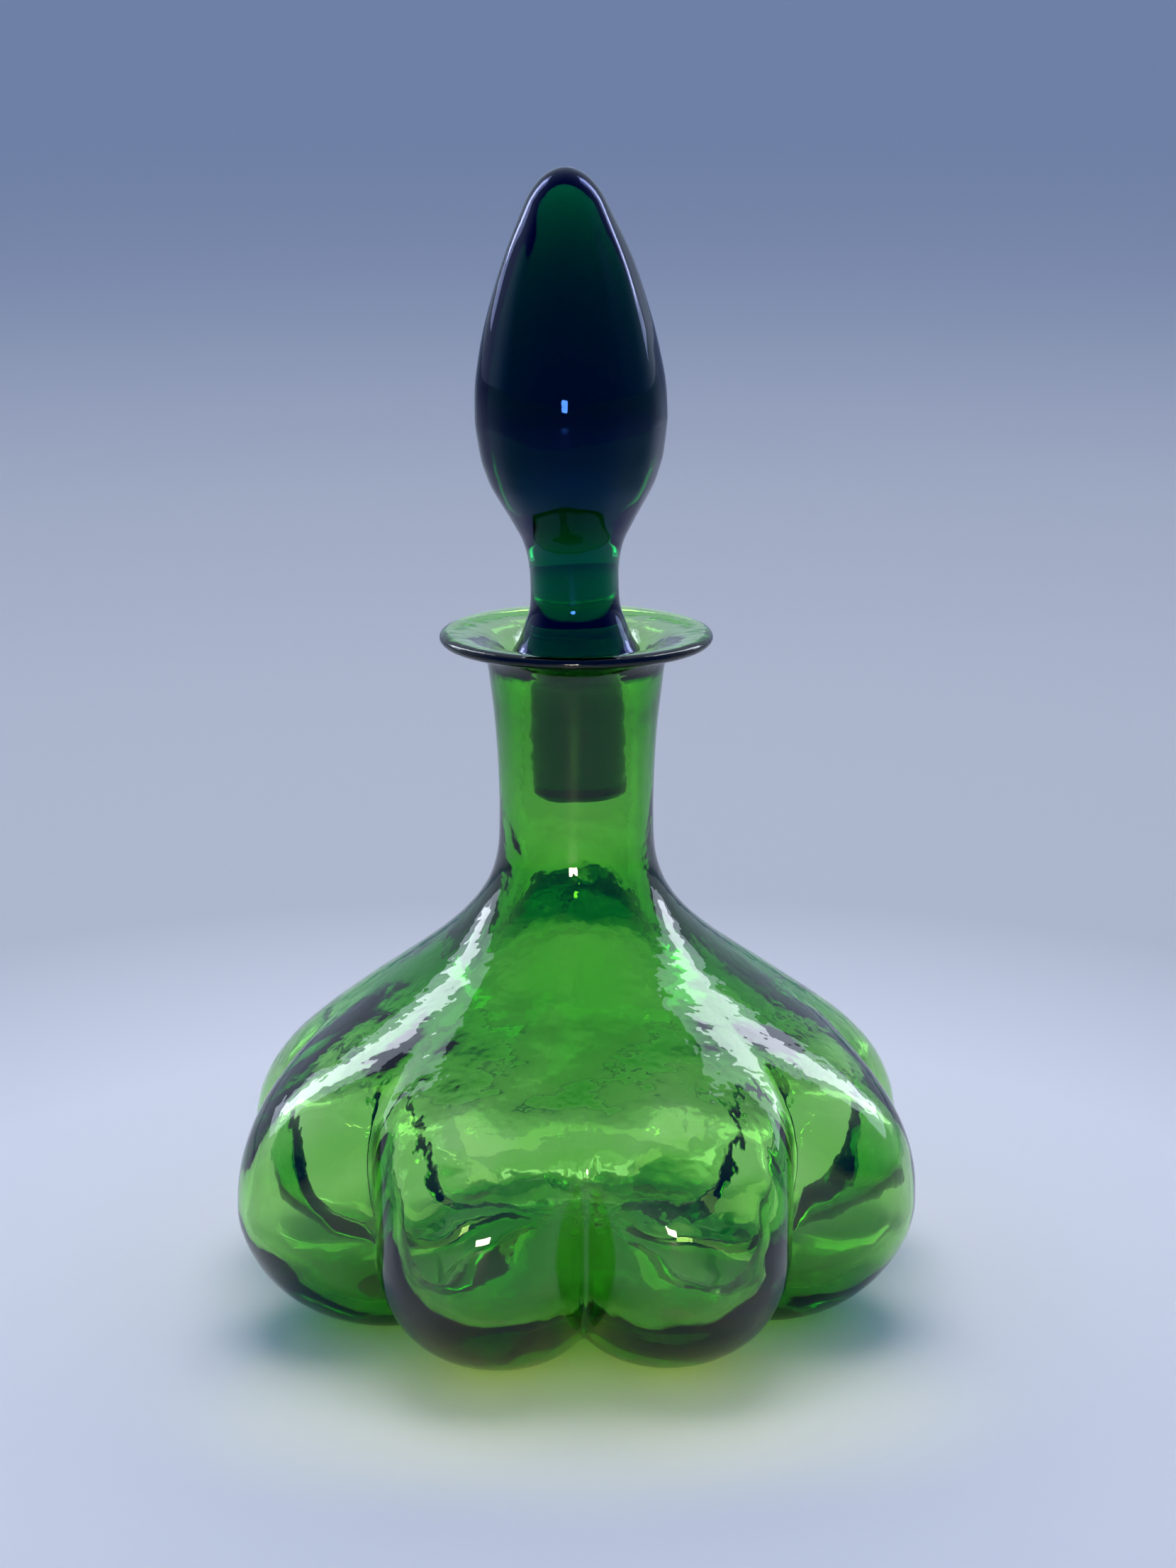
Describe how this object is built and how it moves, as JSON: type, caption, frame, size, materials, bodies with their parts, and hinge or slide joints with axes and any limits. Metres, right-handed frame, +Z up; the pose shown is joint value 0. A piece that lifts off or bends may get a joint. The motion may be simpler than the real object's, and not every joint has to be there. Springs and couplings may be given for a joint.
{
  "type": "lobed glass decanter with stopper",
  "caption": "Squat lobed blown-glass decanter with a waisted neck, a wide flat lip and a solid teardrop stopper that lifts out",
  "frame": {"origin": "middle of the base, on the surface the bottle stands on, on the axis of the neck", "axes": "+Z up the axis of the neck. X and Y each run through two opposite grooves between lobes, so the object looks the same from +X, -X, +Y and -Y, apart from the lean of the loose stopper, whose tip leans towards -X"},
  "size_m": [0.1614, 0.1614, 0.2724],
  "materials": {
    "bottle_glass": "gloss",
    "stopper_glass": "gloss"
  },
  "bodies": {
    "bottle": {"bottle": "bottle_glass"},
    "stopper": {"stopper": "stopper_glass"}
  },
  "joints": [
    {"name": "stopper_lift", "type": "slide", "parent": "bottle", "child": "stopper", "axis": [0, 0, 1], "range_m": [0, 0.06]}
  ]
}
